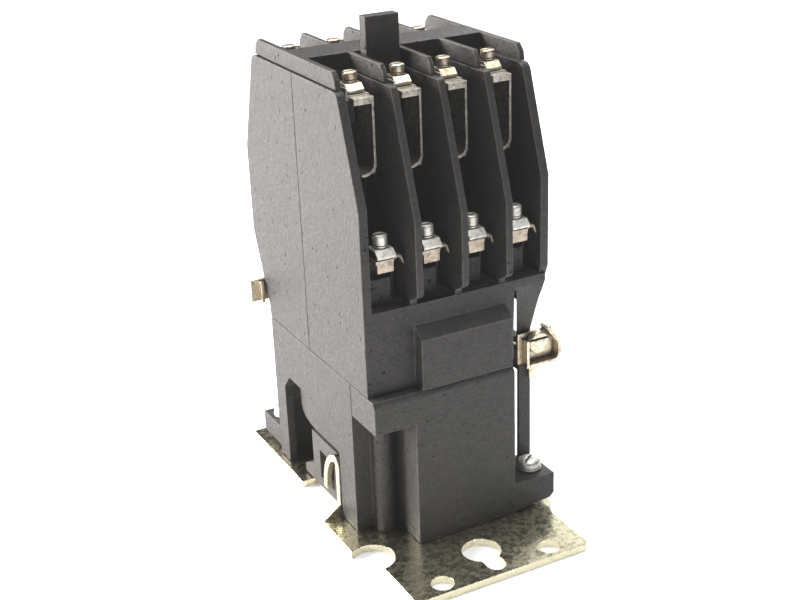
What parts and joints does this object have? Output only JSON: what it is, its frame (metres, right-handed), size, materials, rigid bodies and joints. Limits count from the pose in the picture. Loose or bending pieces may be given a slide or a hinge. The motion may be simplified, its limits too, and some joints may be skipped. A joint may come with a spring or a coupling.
{
  "type": "industrial control relay",
  "caption": "Multi-pole industrial control relay with finned terminal bays front and rear, an operating tab on top and a steel mounting plate.",
  "frame": {"origin": "underside of the mounting plate, on the vertical axis of the body's half-turn symmetry", "axes": "+Z away from the mounting panel towards the operating tab, +X to the right and +Y to the rear when facing the finned front above the plate's tongue"},
  "size_m": [0.0821, 0.1278, 0.1666],
  "materials": {
    "black_moulding": "dark moulded phenolic, satin with a fine mottle",
    "grey_moulding": "grey moulded thermoset, matt",
    "chromated_steel": "zinc plated steel, yellow chromate, satin",
    "brass": "plated brass, lightly tarnished",
    "plated_steel": "bright zinc plate",
    "core_steel": "ground edges of stacked laminations, lightly oiled",
    "coil_tape": "varnished cloth tape",
    "spring_steel": "drawn wire",
    "silver_contacts": "copper alloy blade with dull silver buttons"
  },
  "bodies": {
    "frame": {"mounting_plate": "chromated_steel", "base_front_half": "black_moulding", "base_rear_half": "black_moulding", "contact_housing_front": "black_moulding", "contact_housing_rear": "black_moulding", "top_cover": "black_moulding", "magnet_core": "core_steel", "magnet_cradle": "grey_moulding", "coil_bobbin": "grey_moulding", "coil_winding": "coil_tape", "coil_terminal_front": "brass", "coil_terminal_screw_front": "brass", "foot_screw_front": "plated_steel", "return_spring_front": "spring_steel", "upper_terminal_front_1": "brass", "lower_terminal_front_1": "brass", "upper_screw_front_1": "brass", "lower_screw_front_1": "plated_steel", "upper_terminal_front_2": "brass", "lower_terminal_front_2": "brass", "upper_screw_front_2": "brass", "lower_screw_front_2": "plated_steel", "upper_terminal_front_3": "brass", "lower_terminal_front_3": "brass", "upper_screw_front_3": "brass", "lower_screw_front_3": "plated_steel", "upper_terminal_front_4": "brass", "lower_terminal_front_4": "brass", "upper_screw_front_4": "brass", "lower_screw_front_4": "plated_steel", "coil_terminal_rear": "brass", "coil_terminal_screw_rear": "brass", "foot_screw_rear": "plated_steel", "return_spring_rear": "spring_steel", "upper_terminal_rear_1": "brass", "lower_terminal_rear_1": "brass", "upper_screw_rear_1": "brass", "lower_screw_rear_1": "plated_steel", "upper_terminal_rear_2": "brass", "lower_terminal_rear_2": "brass", "upper_screw_rear_2": "brass", "lower_screw_rear_2": "plated_steel", "upper_terminal_rear_3": "brass", "lower_terminal_rear_3": "brass", "upper_screw_rear_3": "brass", "lower_screw_rear_3": "plated_steel", "upper_terminal_rear_4": "brass", "lower_terminal_rear_4": "brass", "upper_screw_rear_4": "brass", "lower_screw_rear_4": "plated_steel"},
    "carriage": {"crossbar": "black_moulding", "armature": "core_steel", "contact_bridge_front_1": "silver_contacts", "contact_bridge_front_2": "silver_contacts", "contact_bridge_front_3": "silver_contacts", "contact_bridge_front_4": "silver_contacts", "contact_bridge_rear_1": "silver_contacts", "contact_bridge_rear_2": "silver_contacts", "contact_bridge_rear_3": "silver_contacts", "contact_bridge_rear_4": "silver_contacts"}
  },
  "joints": [
    {"name": "crossbar_slide", "type": "slide", "parent": "frame", "child": "carriage", "axis": [0, 0, -1], "range_m": [0, 0.005], "stiffness_N_per_m": 800, "springref_m": -0.008, "deforming": ["return_spring_front", "return_spring_rear"]}
  ]
}
